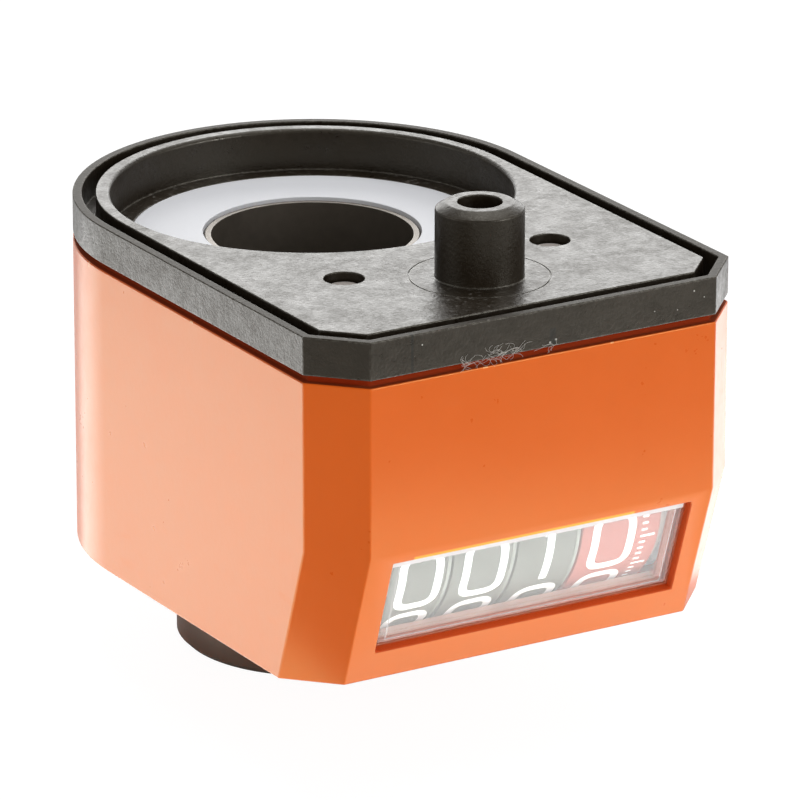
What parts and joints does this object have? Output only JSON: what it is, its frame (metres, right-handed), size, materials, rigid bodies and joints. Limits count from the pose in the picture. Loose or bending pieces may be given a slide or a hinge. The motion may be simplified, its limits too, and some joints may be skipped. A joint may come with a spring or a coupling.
{
  "type": "mechanical position indicator",
  "caption": "Hollow-shaft position indicator with number drums behind a slanted window, a recessed rear face and a torque pin.",
  "frame": {"origin": "on the bore axis, at the end face of the clamping collar", "axes": "+Z along the bore towards the rear face with the torque pin, -Y towards the window, +X to the red drum"},
  "size_m": [0.033, 0.0468, 0.0376],
  "materials": {
    "orange_plastic": "satin gloss moulded plastic",
    "black_plastic": "fine moulded grain",
    "clear_plastic": "clear polished plastic",
    "white_acetal": "smooth satin",
    "seal_rubber": "matte",
    "grey_plastic": "fine matte",
    "blackened_steel": "burnished black",
    "spring_steel": "ground",
    "red_drum_plastic": "satin",
    "dark_drum_plastic": "satin"
  },
  "bodies": {
    "housing": {"case": "orange_plastic", "base": "black_plastic", "window": "clear_plastic", "rear_bearing_ring": "white_acetal", "shaft_seal": "seal_rubber", "counter_frame": "grey_plastic", "transfer_plate_1": "grey_plastic", "transfer_plate_2": "grey_plastic", "transfer_plate_3": "grey_plastic"},
    "input": {"hollow_shaft": "blackened_steel", "set_screw": "blackened_steel", "drive_gear": "white_acetal", "retaining_ring": "spring_steel"},
    "cross": {"cross_shaft": "spring_steel", "helical_pinion": "white_acetal", "spur_pinion": "white_acetal"},
    "counter_1": {"counter_axle": "spring_steel", "counter_gear": "white_acetal", "drum_1": "red_drum_plastic"},
    "counter_2": {"drum_2": "dark_drum_plastic"},
    "counter_3": {"drum_3": "dark_drum_plastic"},
    "counter_4": {"drum_4": "dark_drum_plastic"},
    "carry_1": {"transfer_pinion_1": "white_acetal"},
    "carry_2": {"transfer_pinion_2": "white_acetal"},
    "carry_3": {"transfer_pinion_3": "white_acetal"}
  },
  "joints": [
    {"name": "input_spin", "type": "hinge", "parent": "housing", "child": "input", "pos_m": [0, 0, 0], "axis": [0, 0, 1], "continuous": true},
    {"name": "cross_spin", "type": "hinge", "parent": "housing", "child": "cross", "pos_m": [0, -0.011, 0.0245], "axis": [1, 0, 0], "continuous": true},
    {"name": "drum_1_spin", "type": "hinge", "parent": "housing", "child": "counter_1", "pos_m": [0, -0.0198, 0.0169], "axis": [1, 0, 0], "continuous": true},
    {"name": "drum_2_spin", "type": "hinge", "parent": "housing", "child": "counter_2", "pos_m": [0, -0.0198, 0.0169], "axis": [1, 0, 0], "continuous": true},
    {"name": "drum_3_spin", "type": "hinge", "parent": "housing", "child": "counter_3", "pos_m": [0, -0.0198, 0.0169], "axis": [1, 0, 0], "continuous": true},
    {"name": "drum_4_spin", "type": "hinge", "parent": "housing", "child": "counter_4", "pos_m": [0, -0.0198, 0.0169], "axis": [1, 0, 0], "continuous": true},
    {"name": "carry_1_spin", "type": "hinge", "parent": "housing", "child": "carry_1", "pos_m": [0, -0.0198, 0.02173], "axis": [1, 0, 0], "continuous": true},
    {"name": "carry_2_spin", "type": "hinge", "parent": "housing", "child": "carry_2", "pos_m": [0, -0.0198, 0.02173], "axis": [1, 0, 0], "continuous": true},
    {"name": "carry_3_spin", "type": "hinge", "parent": "housing", "child": "carry_3", "pos_m": [0, -0.0198, 0.02173], "axis": [1, 0, 0], "continuous": true}
  ],
  "couplings": [
    {"joint": "cross_spin", "follows": "input_spin", "ratio": 3.3333},
    {"joint": "drum_1_spin", "follows": "input_spin", "ratio": -2},
    {"joint": "drum_2_spin", "follows": "input_spin", "ratio": -0.2},
    {"joint": "drum_3_spin", "follows": "input_spin", "ratio": -0.02},
    {"joint": "drum_4_spin", "follows": "input_spin", "ratio": -0.002},
    {"joint": "carry_1_spin", "follows": "input_spin", "ratio": -0.66667},
    {"joint": "carry_2_spin", "follows": "input_spin", "ratio": -0.066667},
    {"joint": "carry_3_spin", "follows": "input_spin", "ratio": -0.0066667}
  ]
}
